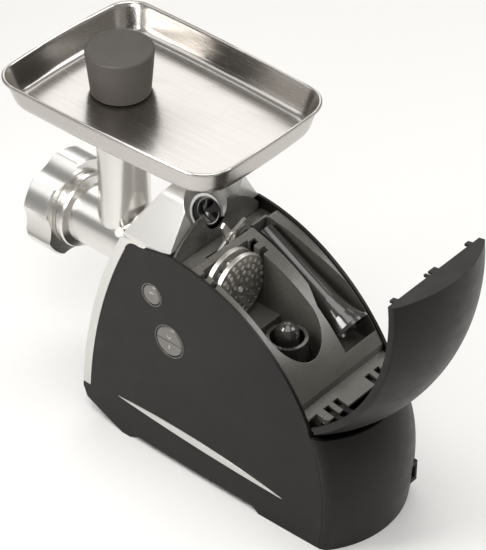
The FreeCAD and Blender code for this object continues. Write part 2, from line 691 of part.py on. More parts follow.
def make_stator():
    """Laminated pack with two flats and the rotor's bore."""
    pack = rod_y(0, MOTOR_Z, 38, 142, 186).common(box(-33, 33, 140, 190, 0, 200))
    windows = [box(-20, 20, 140, 190, MOTOR_Z + s * 27 - 4, MOTOR_Z + s * 27 + 4) for s in (-1, 1)]
    return cut(pack, rod_y(0, MOTOR_Z, 23.5, 130, 200), *windows)


def make_field_coils():
    coils = []
    for side in (-1, 1):
        z = MOTOR_Z + side * 27
        coils.append(box(-19.5, 19.5, 132, 196, z - 3.6, z + 3.6))
    return Part.makeCompound(coils)


def make_motor_brackets():
    """Two spider plates with bearing seats; long bolts hold them to the stator."""
    brackets = []
    for y0, y1, seat_r in ((138, 141.5, 30.0), (203, 206.5, 8.0)):
        plate = cut(box(-33, 33, y0, y1, MOTOR_Z - 36, MOTOR_Z + 36),
                    rod_y(0, MOTOR_Z, seat_r, y0 - 1, y1 + 1))
        brackets.append(plate)
    seat = ring_y(MOTOR_Z, 8.0, 11.0, 203, 213)
    rear = cut(fuse(brackets[1], seat), rod_y(0, MOTOR_Z, 8.0, 200, 220))
    return cut(brackets[0], box(-20, 20, 130, 150, MOTOR_Z - 31, MOTOR_Z - 22),
               box(-20, 20, 130, 150, MOTOR_Z + 22, MOTOR_Z + 31)), rear


def make_rotor_core():
    core = ring_y(MOTOR_Z, 4.0, 22.8, 144, 184)
    slots = []
    for i in range(12):
        slot = box(-1.2, 1.2, 140, 190, MOTOR_Z + 13, MOTOR_Z + 21)
        slot.rotate(V(0, 0, MOTOR_Z), V(0, 1, 0), 30 * i)
        slots.append(slot)
    return cut(core, *slots)


def make_commutator():
    return ring_y(MOTOR_Z, 4.0, 11.0, 188, 200)


def make_cooling_fan():
    hub = ring_y(MOTOR_Z, 4.0, 9.0, 112, 126)
    disc = ring_y(MOTOR_Z, 4.0, 31.0, 124, 126)
    blades = []
    for i in range(9):
        blade = box(-0.9, 0.9, 113, 124.2, MOTOR_Z + 8, MOTOR_Z + 30)
        blade.rotate(V(0, 0, MOTOR_Z), V(0, 1, 0), 40 * i)
        blades.append(blade)
    return cut(fuse(hub, disc, *blades), rod_y(0, MOTOR_Z, 4.0, 100, 130))


def make_brushes():
    """Two carbon brushes in brass tubes, either side of the commutator."""
    parts = []
    for side in (-1, 1):
        x0, x1 = sorted((side * 11.1, side * 26))
        parts.append(box(x0, x1, 190.5, 197.5, MOTOR_Z - 3, MOTOR_Z + 3))
    return Part.makeCompound(parts)


def make_brush_holders():
    parts = []
    for side in (-1, 1):
        x0, x1 = sorted((side * 13.5, side * 32.5))
        tube = box(x0, x1, 188.9, 199.1, MOTOR_Z - 4.6, MOTOR_Z + 4.6)
        parts.append(cut(tube, box(-60, 60, 190.5, 197.5, MOTOR_Z - 3, MOTOR_Z + 3)))
    return Part.makeCompound(parts)


def make_motor_bolts():
    bolts = []
    for x in (-28.5, 28.5):
        for z in (-32, 32):
            bolts.append(fuse(rod_y(x, MOTOR_Z + z, 1.8, 134, 203), rod_y(x, MOTOR_Z + z, 3.4, 206.5, 209),
                              rod_y(x, MOTOR_Z + z, 1.8, 203, 207)))
    return bolts


def make_switch_board():
    """Circuit board standing inside the +X panel, behind the two buttons."""
    board = box(45.0, 46.6, 78, 120, 122, 190)
    switches = [box(46.6, 46.6 + height, y - 5, y + 5, z - 5, z + 5)
                for (y, z), height in ((POWER_AT, 2.4), (REVERSE_AT, 1.7))]
    return [board] + switches


# ---- grinding head ------------------------------------------------------------------------
def make_head():
    """Cast barrel with its feed tube, one piece."""
    barrel = turned([(BARREL_REAR, 0), (BARREL_REAR, BARREL_R), (-43, BARREL_R), (-45, COLLAR_R - 1),
                     (-47, COLLAR_R), (-51, COLLAR_R), (-52, THREAD_R), (BARREL_FRONT, THREAD_R),
                     (BARREL_FRONT, 0)],
                    (0, 0, AXIS_Z), (0, 1, 0))
    tube = rod_z(0, 0, TUBE_R, AXIS_Z, TUBE_TOP)
    head = fuse(barrel, tube)
    head = soften(head, 2.0, lambda e: AXIS_Z + 10 < e.BoundBox.ZMin < AXIS_Z + 60
                  and e.BoundBox.ZMax < AXIS_Z + 40 and abs(e.BoundBox.YMax) < 24
                  and e.BoundBox.YLength > 10 and e.BoundBox.XLength > 5)
    rings = [cut(rod_y(0, AXIS_Z, THREAD_R + 2, y, y + 1.2), rod_y(0, AXIS_Z, THREAD_R - 1.2, y - 1, y + 3))
             for y in (-74, -70, -66, -62, -58)]
    bore = rod_y(0, AXIS_Z, BORE_R, -90, 34)
    seat = rod_y(0, AXIS_Z, PLATE_R + 0.3, -90, BARREL_FRONT + 8)
    shaft_hole = rod_y(0, AXIS_Z, 9.05, 30, 60)
    throat = rod_z(0, 0, TUBE_BORE_R, AXIS_Z, TUBE_TOP + 5)
    return cut(head, bore, seat, shaft_hole, throat, *rings)


def make_lock_stud():
    """Round steel stud on the barrel, just in front of the hub."""
    angle = math.radians(40)
    way = V(math.cos(angle), 0, math.sin(angle))
    base = V(0, 17.0, AXIS_Z)
    stud = Part.makeCylinder(4.6, 8.0, base + way * (BARREL_R - 2.0), way)
    return cut(stud, rod_y(0, AXIS_Z, BARREL_R, -20, 40), rod_z(0, 0, TUBE_R + 0.1, 100, 300))


def lobe_wire(lobe_r, valley_r):
    """Outline of the ring nut: flat-topped lobes with round hollows between them."""
    pitch = 360.0 / NUT_LOBES
    flat = 15.0
    def at(r, deg):
        a = math.radians(deg)
        return (r * math.cos(a), AXIS_Z + r * math.sin(a))
    legs = []
    for i in range(NUT_LOBES):
        a = NUT_LOBE_AT + i * pitch
        legs += [(at(lobe_r, a), at(lobe_r, a + flat)), at(lobe_r - 0.8, a + flat + 1.4),
                 (at(valley_r, a + pitch / 2), at(lobe_r - 0.8, a + pitch - flat - 1.4)),
                 at(lobe_r, a + pitch - flat)]
    return path(at(lobe_r, NUT_LOBE_AT - flat), *legs[:-1])


def make_ring_nut():
    nut = prism_y(lobe_wire(NUT_LOBE_R, NUT_VALLEY_R), NUT_FRONT, NUT_REAR)
    limit = turned([(NUT_FRONT, 0), (NUT_FRONT, NUT_LOBE_R - 3.5), (NUT_FRONT + 4, NUT_LOBE_R + 0.6),
                    (NUT_REAR - 2.5, NUT_LOBE_R + 0.6), (NUT_REAR, NUT_LOBE_R - 1.6), (NUT_REAR, 0)],
                   (0, 0, AXIS_Z), (0, 1, 0))
    nut = nut.common(limit)
    return cut(nut, rod_y(0, AXIS_Z, THREAD_R + 0.35, NUT_FRONT + 6, NUT_REAR + 5),
               rod_y(0, AXIS_Z, 27.5, NUT_FRONT - 5, 0),
               Part.makeCone(31, 27.5, 3.5, V(0, NUT_FRONT, AXIS_Z), V(0, 1, 0)))


def make_screw():
    """Feed screw: a core with a helical flight, a square tail and a square nose."""
    y0, y1, pitch, flight_r = -66.0, 32.0, 24.0, BORE_R - 0.6
    core = turned([(y0, 0), (y0, 9.5), (y1, 12.0), (y1 + 1.2, 12.0), (y1 + 1.2, 9.0),
                   (43.5, 9.0), (43.5, 0)],
                  (0, 0, AXIS_Z), (0, 1, 0))
    length = y1 - 3 - (y0 + 3)
    helix = Part.makeHelix(pitch, length, 8.0)
    profile = Part.makePolygon([V(8.0, 0, -2.6), V(flight_r, 0, -1.1), V(flight_r, 0, 1.1),
                                V(8.0, 0, 2.6), V(8.0, 0, -2.6)])
    flight = Part.Wire(helix.Edges).makePipeShell([profile], True, True)
    flight.rotate(V(0, 0, 0), V(1, 0, 0), -90)
    flight.translate(V(0, y0 + 3, AXIS_Z))
    tail = box(-4.5, 4.5, 40, 54, AXIS_Z - 4.5, AXIS_Z + 4.5)
    nose = box(-4.0, 4.0, y0 - 9, y0 + 1, AXIS_Z - 4.0, AXIS_Z + 4.0)
    return fuse(core, flight, tail, nose)


# ---- tray and pusher ----------------------------------------------------------------------
def tray_wire(inset, z, corner):
    """Rounded outline, a little narrower behind, with bowed sides."""
    x0, x1 = TRAY_HALF_FRONT - inset, TRAY_HALF_REAR - inset
    y0, y1 = TRAY_FRONT + inset, TRAY_REAR - inset
    k, bow = corner * 0.293, 2.0
    def p(x, y):
        return V(x, y, z)
    right = [Part.Arc(p(x0, y0 + corner), p((x0 + x1) / 2 + bow, (y0 + y1) / 2), p(x1, y1 - corner)),
             Part.Arc(p(x1, y1 - corner), p(x1 - k, y1 - k), p(x1 - corner, y1))]
    rear = Part.Arc(p(x1 - corner, y1), p(0, y1 + bow), p(-x1 + corner, y1))
    left = [Part.Arc(p(-x1 + corner, y1), p(-x1 + k, y1 - k), p(-x1, y1 - corner)),
            Part.Arc(p(-x1, y1 - corner), p(-(x0 + x1) / 2 - bow, (y0 + y1) / 2), p(-x0, y0 + corner))]
    front = [Part.Arc(p(-x0, y0 + corner), p(-x0 + k, y0 + k), p(-x0 + corner, y0)),
             Part.Arc(p(-x0 + corner, y0), p(0, y0 - bow), p(x0 - corner, y0)),
             Part.Arc(p(x0 - corner, y0), p(x0 - k, y0 + k), p(x0, y0 + corner))]
    return Part.Wire([e.toShape() for e in right + [rear] + left + front])


def make_tray():
    low, high = TRAY_FLOOR_Z, TRAY_RIM_Z
    outer = Part.makeLoft([tray_wire(TRAY_FLARE, low, TRAY_CORNER - 6),
                           tray_wire(2.0, high, TRAY_CORNER)], True)
    inner = Part.makeLoft([tray_wire(TRAY_FLARE + SHEET, low + SHEET, TRAY_CORNER - 6 - SHEET),
                           tray_wire(2.0 + SHEET, high + 0.01, TRAY_CORNER - SHEET)], True)
    rim = Part.Face(tray_wire(0, high - SHEET, TRAY_CORNER + 1)).extrude(V(0, 0, SHEET))
    body = fuse(outer, rim)
    collar = rod_z(0, 0, TUBE_BORE_R - 0.3, TUBE_TOP - 16, low + SHEET)
    throat = rod_z(0, 0, TUBE_BORE_R - 0.3 - SHEET, TUBE_TOP - 20, high + 10)
    return cut(fuse(cut(body, inner), collar), throat)


def make_pusher():
    top, z0 = PUSHER_TOP_Z, TRAY_FLOOR_Z + SHEET + 0.4
    plunger_r = TUBE_BORE_R - SHEET - 0.3 - 0.5
    return turned([(top, 0), (top, PUSHER_TOP_R - 2), (top - 0.6, PUSHER_TOP_R - 0.6),
                   (top - 2, PUSHER_TOP_R),
                   (z0 + 1, PUSHER_FOOT_R), (z0, PUSHER_FOOT_R - 1), (z0, plunger_r),
                   (AXIS_Z + 34, plunger_r - 0.6), (AXIS_Z + 32, plunger_r - 2.6), (AXIS_Z + 32, 0)],
                  (0, 0, 0), (0, 0, 1))


# ---- stored accessories -------------------------------------------------------------------
def make_plate(y, hole_r, rings):
    """Perforated disc standing across X, with a centre hole and a key notch."""
    disc = rod_y(BAY_X, PLATE_Z, PLATE_R, y - PLATE_T / 2, y + PLATE_T / 2)
    disc = soften(disc, 0.5, lambda e: True)
    holes = [rod_y(BAY_X, PLATE_Z, 4.0, y - 9, y + 9),
             box(BAY_X - 2, BAY_X + 2, y - 9, y + 9, PLATE_Z - PLATE_R - 2, PLATE_Z - PLATE_R + 2.5)]
    for radius, count in rings:
        for i in range(count):
            a = 2 * math.pi * (i + 0.5) / count
            across, up = radius * math.cos(a), radius * math.sin(a)
            holes.append(rod_y(BAY_X + across, PLATE_Z + up, hole_r, y - 9, y + 9))
    return cut(disc, *holes)


def make_knife():
    """Four-armed knife standing in its slot in front of the plates."""
    hub = rod_y(KNIFE_X, KNIFE_Z, 7.0, KNIFE_Y - 2.6, KNIFE_Y + 2.6)
    tip = KNIFE_Z + KNIFE_ARM
    blade = path((KNIFE_X - 4.5, KNIFE_Z), (KNIFE_X - 2.6, tip), (KNIFE_X + 2.4, tip - 1.5),
                 (KNIFE_X + 5.5, KNIFE_Z))
    arms = []
    for i in range(4):
        arm = prism_y(blade, KNIFE_Y - 1.3, KNIFE_Y + 1.5)
        arm.rotate(V(KNIFE_X, 0, KNIFE_Z), V(0, 1, 0), 90 * i - KNIFE_TURN)
        arms.append(arm)
    square = box(KNIFE_X - 4.2, KNIFE_X + 4.2, KNIFE_Y - 9, KNIFE_Y + 9, KNIFE_Z - 4.2, KNIFE_Z + 4.2)
    square.rotate(V(KNIFE_X, 0, KNIFE_Z), V(0, 1, 0), -KNIFE_TURN)
    return cut(fuse(hub, *arms), square)


CONE_BASE_Z = CONE_FLOOR + 0.3


def make_kebbe_former():
    """Flared former with a plain ring at its narrow top, ribbed outside."""
    z = CONE_BASE_Z
    shell = turned([(0, 20.0), (0, 25.5), (4, 25.5), (5, 23.0), (30, 18.6), (46.5, 18.0), (46.5, 14.6),
                    (30, 15.2), (6, 19.6), (0, 20.0)], (BAY_X, CONE_Y, z), (0, 0, 1))
    ribs = []
    for i in range(10):
        rib = prism_y(path((BAY_X + 17.0, z + 3), (BAY_X + 25.0, z + 3), (BAY_X + 25.0, z + 6),
                           (BAY_X + 18.2, z + 40),
                           (BAY_X + 17.0, z + 40)), CONE_Y - 0.8, CONE_Y + 0.8)
        rib.rotate(V(BAY_X, CONE_Y, 0), V(0, 0, 1), 36 * i)
        ribs.append(rib)
    bore = turned([(-1, 20.0), (0, 20.0), (6, 19.6), (30, 15.2), (60, 14.6), (60, 0), (-1, 0)],
                  (BAY_X, CONE_Y, z), (0, 0, 1))
    return cut(fuse(shell, *ribs), bore)


def make_kebbe_core():
    """Round-nosed core that stands inside the former."""
    profile = [(0, 0), (0, 18.6), (3, 18.6), (5, 10.5), (50, 10.5)]
    profile += [(50 + 10.5 * math.sin(a), 10.5 * math.cos(a)) for a in
                [math.radians(d) for d in (15, 30, 45, 60, 75)]]
    return turned(profile + [(60.5, 0)], (BAY_X, CONE_Y, CONE_BASE_Z), (0, 0, 1))


FUNNEL_TILT = 30.0
FUNNEL_REAR = (229.0, 160.0)        # centre of the funnel's flange, (y, z)


def make_funnel():
    """Stuffing funnel lying along the deck's slope, flange to the rear."""
    length = 112.0
    profile = [(0, 0), (0, 18.5), (3, 18.5), (3.4, 17.2), (8, 15.8), (14, 13.8), (22, 12.2), (32, 11.0),
               (length, 8.2), (length, 0)]
    hollow = [(-1, 0), (-1, 16.2), (2, 15.4), (8, 14.0), (14, 12.0), (22, 10.4), (32, 9.2),
              (length + 1, 6.4), (length + 1, 0)]
    y, z = FUNNEL_REAR
    axis = (0, -math.cos(math.radians(FUNNEL_TILT)), math.sin(math.radians(FUNNEL_TILT)))
    base = (FUNNEL_X, y, z)
    return cut(turned(profile, base, axis), turned(hollow, base, axis))


# ---- fasteners ----------------------------------------------------------------------------
def pan_screw(base, axis, length):
    """Screw with a pan head: the head stands on base, the shank goes along axis."""
    base, axis = V(*base), V(*axis)
    head = Part.makeCylinder(3.2, 1.8, base - axis * 1.8, axis)
    shank = Part.makeCylinder(1.6, length, base, axis)
    cross = [Part.makeBox(3.6, 0.8, 1.0, V(-1.8, -0.4, 0)), Part.makeBox(0.8, 3.6, 1.0, V(-0.4, -1.8, 0))]
    turn = FreeCAD.Rotation(V(0, 0, 1), axis)
    cross = [c.transformGeometry(FreeCAD.Placement(base - axis * 1.8, turn).toMatrix()) for c in cross]
    return cut(fuse(head, shank), *cross)


def base_screw_places():
    return [(x, y) for x in (-48, 48) for y in (96, 200)]


def build():
    os.makedirs("parts", exist_ok=True)
    right, left, rear, front_shell, fascia = shell_pieces()
    holes = [rod_x(POWER_AT[0], POWER_AT[1], POWER_R + 0.1, 30, 90),
             rod_x(REVERSE_AT[0], REVERSE_AT[1], REVERSE_R + 0.1, 30, 90)]
    hinge_pin = make_lid_pin()
    save("right_side_panel", cut(right, *holes))
    save("left_side_panel", left)
    save("rear_cover", cut(rear, cord_opening()))
    save("front_fascia", fascia)
    save("front_housing", make_front_housing(front_shell))
    save("rear_bulkhead", make_bulkhead())
    save("storage_deck", make_storage_deck())
    save("base_plate", cut(make_base_plate(), *[rod_z(x, y, 1.6, 0, 30) for x, y in base_screw_places()]))
    save("rubber_feet", make_rubber_feet())
    save("side_trims", make_side_trims())
    save("cord_gland", make_cord_gland())
    save("lid", make_lid())
    save("lid_hinge_pin", hinge_pin)
    save("power_button", make_power_button())
    save("reverse_button", push_button(REVERSE_AT, REVERSE_R))
    save("release_button", make_release_button())
    save("release_spring", make_release_spring())
    save("latch_bracket", make_latch_plate())
    board = make_switch_board()
    save("circuit_board", board[0])
    save("micro_switches", Part.makeCompound(board[1:]))
    save("gear_case", make_gear_case())
    save("gear_cover", make_gear_cover())
    save("idler_pins", make_idler_pins())
    save("first_idler_gear", make_idler_a())
    save("second_idler_gear", make_idler_b())
    save("output_gear", make_output_gear())
    save("output_shaft", make_output_shaft())
    save("bearings", make_bearings())
    bolts = make_motor_bolts()
    save("motor_stator", cut(make_stator(), *bolts))
    save("field_coils", make_field_coils())
    front_bracket, rear_bracket = make_motor_brackets()
    save("motor_front_bracket", cut(front_bracket, *bolts))
    save("motor_rear_bracket", cut(rear_bracket, *bolts))
    save("motor_bolts", Part.makeCompound(bolts))
    save("rotor_shaft", make_rotor_shaft())
    save("rotor_core", make_rotor_core())
    save("commutator", make_commutator())
    save("cooling_fan", make_cooling_fan())
    save("carbon_brushes", make_brushes())
    save("brush_holders", make_brush_holders())
    feet_screws = [pan_screw((x, y, BASE_Z0), (0, 0, 1), 7) for x, y in base_screw_places()]
    save("base_screws", Part.makeCompound(feet_screws))
    save("grinder_head", make_head())
    save("lock_stud", make_lock_stud())
    save("feed_screw", make_screw())
    save("ring_nut", make_ring_nut())
    save("tray", make_tray())
    save("pusher", make_pusher())
    save("knife", make_knife())
    save("coarse_plate", make_plate(PLATE_Y[0], 4.0, ((11.0, 5), (22.0, 11))))
    save("fine_plate", make_plate(PLATE_Y[1], 2.2, ((8.2, 6), (14.2, 12), (20.2, 17), (26.0, 23))))
    save("kebbe_former", make_kebbe_former())
    save("kebbe_core", make_kebbe_core())
    save("sausage_funnel", make_funnel())
    whole = BOUNDS[0]
    for other in BOUNDS[1:]:
        whole.add(other)
    print("whole: x %.1f..%.1f y %.1f..%.1f z %.1f..%.1f" %
          (whole.XMin, whole.XMax, whole.YMin, whole.YMax, whole.ZMin, whole.ZMax))


build()
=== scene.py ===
import json
import math

import bmesh
import bpy
from mathutils import Matrix, Vector


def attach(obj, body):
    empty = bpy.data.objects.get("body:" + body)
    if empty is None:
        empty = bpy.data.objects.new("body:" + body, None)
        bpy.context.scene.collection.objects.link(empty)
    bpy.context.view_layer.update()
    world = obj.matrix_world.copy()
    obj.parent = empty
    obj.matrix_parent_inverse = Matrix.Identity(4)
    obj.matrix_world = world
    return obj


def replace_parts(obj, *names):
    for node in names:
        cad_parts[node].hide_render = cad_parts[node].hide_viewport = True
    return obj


# Electric meat grinder with its lid open.  Lengths in the tables are millimetres; the feed tube's
# axis is at x = 0, y = TUBE_Y, the grinding head points to -Y and the buttons are on the +X side.
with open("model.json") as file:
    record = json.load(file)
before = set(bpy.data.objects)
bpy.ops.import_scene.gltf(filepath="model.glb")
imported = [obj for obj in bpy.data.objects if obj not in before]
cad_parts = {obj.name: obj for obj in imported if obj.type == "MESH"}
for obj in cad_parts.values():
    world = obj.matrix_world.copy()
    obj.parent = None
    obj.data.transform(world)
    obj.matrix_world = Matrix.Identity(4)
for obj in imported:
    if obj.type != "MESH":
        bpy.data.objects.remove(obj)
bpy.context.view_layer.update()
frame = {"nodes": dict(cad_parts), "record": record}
NODES = frame["nodes"]
SLOT_OF = {part["node"]: part["material_slot"] for part in frame["record"]["subparts"]}

MM = 0.001
TUBE_Y = -137.6                 # feed tube's axis


# ---- materials ----------------------------------------------------------------------------
def linear(code):
    """sRGB hex to the linear colour that the shaders take."""
    parts = [int(code[i:i + 2], 16) / 255 for i in (1, 3, 5)]
    return [p / 12.92 if p <= 0.04045 else ((p + 0.055) / 1.055) ** 2.4 for p in parts] + [1.0]


def add(tree, kind, inputs=(), **settings):
    """Adds one node; an input is a value or the socket that feeds it."""
    node = tree.nodes.new("ShaderNode" + kind)
    for name, value in settings.items():
        setattr(node, name, value)
    for name, value in dict(inputs).items():
        if isinstance(value, bpy.types.NodeSocket):
            tree.links.new(value, node.inputs[name])
        else:
            node.inputs[name].default_value = value
    return node


def start(name, **shader):
    """A new material with its surface shader and its Object coordinates, in metres."""
    material = bpy.data.materials.new(name)
    material.use_nodes = True
    tree = material.node_tree
    surface = tree.nodes["Principled BSDF"]
    for socket, value in shader.items():
        surface.inputs[socket.replace("_", " ")].default_value = value
    place = add(tree, "TexCoord").outputs["Object"]
    return material, tree, surface, place


def grain(tree, place, size_mm, stretch=(1, 1, 1), detail=3.0, roughness=0.5):
    """Noise whose lumps are size_mm across, stretched along an axis where stretch is under 1."""
    scaled = add(tree, "Mapping", {"Vector": place, "Scale": [s / (size_mm * MM) for s in stretch]})
    return add(tree, "TexNoise", {"Vector": scaled.outputs["Vector"], "Scale": 1.0, "Detail": detail,
                                  "Roughness": roughness}).outputs["Fac"]


def spread(tree, value, low, high, start_at=0.3, end_at=0.7):
    """Turns noise into a range of numbers."""
    return add(tree, "MapRange", {"Value": value, "From Min": start_at, "From Max": end_at,
                                  "To Min": low, "To Max": high}).outputs["Result"]


def blend_colours(tree, value, first, second, start_at=0.3, end_at=0.7):
    ramp = add(tree, "ValToRGB", {"Fac": value})
    ramp.color_ramp.elements[0].position = start_at
    ramp.color_ramp.elements[0].color = linear(first)
    ramp.color_ramp.elements[1].position = end_at
    ramp.color_ramp.elements[1].color = linear(second)
    return ramp.outputs["Color"]


def relief(tree, surface, height, depth_mm, strength, edge_mm=0.5):
    """Surface relief on top of a small rounding of every edge, as a mould or a die leaves it."""
    edge = add(tree, "Bevel", {"Radius": edge_mm * MM}, samples=4)
    bump = add(tree, "Bump", {"Height": height, "Distance": depth_mm * MM, "Strength": strength,
                              "Normal": edge.outputs["Normal"]})
    tree.links.new(bump.outputs["Normal"], surface.inputs["Normal"])


def wire(tree, surface, **sockets):
    for name, value in sockets.items():
        tree.links.new(value, surface.inputs[name.replace("_", " ")])


FLOW_CLOUD_MM, SHEEN_PATCH_MM = 55.0, 14.0      # how large the faint clouds in moulded plastic are


def moulded_plastic(name, dark, light, gloss, grit_mm, relief_mm, edge_mm=0.6, coat=0.0, mirror=0.5):
    """Moulded ABS: even colour with faint flow clouds, and a spark-eroded grain from the mould."""
    material, tree, surface, place = start(name, IOR=1.53, Coat_Weight=coat, Coat_Roughness=0.12,
                                           Specular_IOR_Level=mirror)
    clouds = grain(tree, place, FLOW_CLOUD_MM, detail=2.0)
    fine = grain(tree, place, grit_mm, detail=2.0)
    wire(tree, surface, Base_Color=blend_colours(tree, clouds, dark, light),
         Roughness=spread(tree, grain(tree, place, SHEEN_PATCH_MM), gloss - 0.05, gloss + 0.05))
    relief(tree, surface, fine, relief_mm, 0.5, edge_mm)
    return material


def metal(name, dark, light, gloss, grit_mm, relief_mm, stretch=(1, 1, 1), edge_mm=0.4, swing=0.06,
          cloud_mm=30.0):
    """Bare metal: the colour is its reflection, broken by tool marks that run along one axis."""
    material, tree, surface, place = start(name, Metallic=1.0)
    marks = grain(tree, place, grit_mm, stretch, detail=2.0, roughness=0.6)
    clouds = grain(tree, place, cloud_mm, detail=3.0)
    wire(tree, surface, Base_Color=blend_colours(tree, clouds, dark, light),
         Roughness=spread(tree, marks, gloss - swing, gloss + swing))
    relief(tree, surface, marks, relief_mm, 0.35, edge_mm)
    return material


MATERIALS = {
    # anthracite ABS, satin from a spark-eroded mould: warm near-black with a soft, low sheen
    "anthracite_shell": moulded_plastic("spark_eroded_abs", "#1D1B19", "#211F1D", 0.42, 0.9, 0.02,
                                        mirror=0.18),
    # ABS from a polished mould: a grey painted lighter than the shell's, with highlights along the edges
    # the lighter grey is painted light, which makes up for the shade the recessed deck sits in
    "dark_inner_plastic": moulded_plastic("polished_mould_abs_painted_lighter", "#56544E", "#5C5A54", 0.28, 3.0,
                                          0.01),
    # black gloss ABS: near-mirror, shows the softboxes as white crescents
    "smoked_button": moulded_plastic("piano_black_abs", "#060606", "#0A0A0A", 0.10, 8.0, 0.004,
                                      coat=1.0),
    # grey metallic lacquer on the push buttons: soft, slightly warm sheen
    "button_plastic": moulded_plastic("grey_lacquered_abs", "#605C58", "#67635F", 0.34, 0.8, 0.01,
                                      edge_mm=0.5, coat=0.3),
    # spark-eroded polypropylene: the pusher looks chalky and mid grey, with the coarsest grain
    "pusher_plastic": moulded_plastic("eroded_polypropylene", "#45413D", "#4B4743", 0.55, 1.1, 0.04,
                                     mirror=0.25),
    # smoky polished ABS: stuffing parts, glossy enough to mirror the store around them
    "former_plastic": moulded_plastic("polished_smoke_abs", "#2A2926", "#33312D", 0.16, 6.0, 0.01,
                                      coat=0.4),
    # thermoplastic rubber: matt and slightly dusty
    "rubber": moulded_plastic("thermoplastic_rubber", "#151515", "#1D1C1B", 0.72, 0.8, 0.05),
    # nylon: ivory, waxy
    "gear_nylon": moulded_plastic("natural_nylon", "#CFC6AE", "#D9D1BB", 0.42, 1.2, 0.02),
    # pressed carbon: dull black
    "carbon": moulded_plastic("pressed_carbon", "#111112", "#1C1C1E", 0.62, 0.5, 0.03),
    # epoxy board: green solder mask with a wet gloss
    "board": moulded_plastic("epoxy_board", "#12401F", "#1A5230", 0.25, 2.5, 0.01),
    # cast then polished aluminium: bright and satin, with soft-edged reflections
    "cast_aluminium": metal("polished_cast_aluminium", "#DEDCD8", "#E3E1DD", 0.25, 2.5, 0.001,
                            swing=0.015),
    # deep-drawn 18/10 sheet, belt-brushed along its length: long fine streaks
    "stainless_sheet": metal("brushed_stainless_sheet", "#BCB8B3", "#C2BEB9", 0.24, 1.0, 0.0006,
                             stretch=(1, 0.015, 1), swing=0.04, cloud_mm=120.0),
    # ground tool steel: knife, plates and screw, crisp with short grinding marks
    "tool_steel": metal("ground_tool_steel", "#DEDBD5", "#E8E5E0", 0.36, 0.6, 0.0005,
                        stretch=(0.06, 1, 1)),
    # nickel-plated steel: almost a mirror
    "bright_steel": metal("nickel_plated_steel", "#C9C8C4", "#D8D7D3", 0.12, 1.0, 0.001),
    # sintered steel gears: grey and a little porous
    "gear_steel": metal("sintered_steel", "#8C8A86", "#9A9894", 0.36, 0.5, 0.02),
    # zinc plate: bluish grey with a faint spangle
    "zinc_steel": metal("zinc_plated_steel", "#A3A7AD", "#B7BABF", 0.30, 4.0, 0.004, cloud_mm=5.0),
    # electrical sheet, stacked along the shaft: dark grey with a line for every second lamination
    "lamination_steel": metal("stacked_electrical_sheet", "#54555A", "#66676B", 0.42, 1.0, 0.06,
                              stretch=(0.02, 1, 0.02)),
    # enamelled copper: orange-brown turns side by side
    "copper_coil": metal("enamelled_copper_wire", "#9A4A22", "#B8642F", 0.30, 0.8, 0.08,
                         stretch=(1, 0.03, 1)),
    # drawn brass terminals
    "brass": metal("drawn_brass", "#B8923E", "#CBA751", 0.26, 0.8, 0.01),
    # oil-soaked sintered bronze
    "bronze_bush": metal("sintered_bronze", "#8C5F35", "#A1713F", 0.38, 0.4, 0.02),
}


def silver_lacquer():
    """ABS with silver lacquer: aluminium flake under a clear coat, soft facets that glow pale grey."""
    material, tree, surface, place = start("silver_lacquered_abs", Metallic=0.62, IOR=1.5,
                                           Coat_Weight=0.35, Coat_Roughness=0.10)
    flakes = grain(tree, place, 0.6, detail=1.0)         # real flakes are 0.03 mm: drawn coarser to show
    wire(tree, surface, Base_Color=blend_colours(tree, flakes, "#D2D0CC", "#D7D5D1"),
         Roughness=spread(tree, flakes, 0.30, 0.34))
    relief(tree, surface, grain(tree, place, 9.0), 0.005, 0.2, 0.9)
    return material


MATERIALS["silver_housing"] = silver_lacquer()
PRINT = moulded_plastic("white_pad_print", "#CFCCC7", "#D8D5D0", 0.5, 1.0, 0.005, edge_mm=0.1)


# ---- pieces -------------------------------------------------------------------------------
def piece(name, bm, material, body, smooth=40.0):
    """Makes the finished mesh an object that rides on its body."""
    mesh = bpy.data.meshes.new(name)
    bm.to_mesh(mesh)
    bm.free()
    mesh.materials.clear()
    mesh.materials.append(material)
    mesh.polygons.foreach_set("use_smooth", [True] * len(mesh.polygons))
    mesh.set_sharp_from_angle(angle=math.radians(smooth))
    made = bpy.data.objects.new(name, mesh)
    bpy.context.scene.collection.objects.link(made)
    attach(made, body)
    return made


def turned(profile, at, axis, steps=96):
    """Spins (distance along axis, radius) points, closed on themselves, round an axis."""
    axis = Vector(axis).normalized()
    side = axis.orthogonal().normalized()
    at = Vector(at)
    bm = bmesh.new()
    ring = [bm.verts.new((at + axis * a + side * r) * MM) for a, r in profile]
    edges = [bm.edges.new((ring[i], ring[(i + 1) % len(ring)])) for i in range(len(ring))]
    bmesh.ops.spin(bm, geom=ring + edges, cent=at * MM, axis=axis, angle=2 * math.pi, steps=steps,
                   use_merge=True)
    bmesh.ops.remove_doubles(bm, verts=bm.verts, dist=0.000002)
    bmesh.ops.recalc_face_normals(bm, faces=bm.faces)
    return bm


def rounded_bar(x0, x1, y0, y1, z0, z1, radius):
    """A bar with every edge rounded."""
    bm = bmesh.new()
    size = Vector((x1 - x0, y1 - y0, z1 - z0)) * MM
    middle = Vector((x0 + x1, y0 + y1, z0 + z1)) * MM / 2
    bmesh.ops.create_cube(bm, size=1.0, matrix=Matrix.Translation(middle) @ Matrix.Diagonal((*size, 1)))
    bmesh.ops.bevel(bm, geom=bm.edges[:], offset=radius * MM, segments=3, profile=0.5,
                    affect="EDGES", material=-1)
    return bm


for node, made in NODES.items():
    made.data.materials.clear()
    made.data.materials.append(MATERIALS[SLOT_OF[node]])


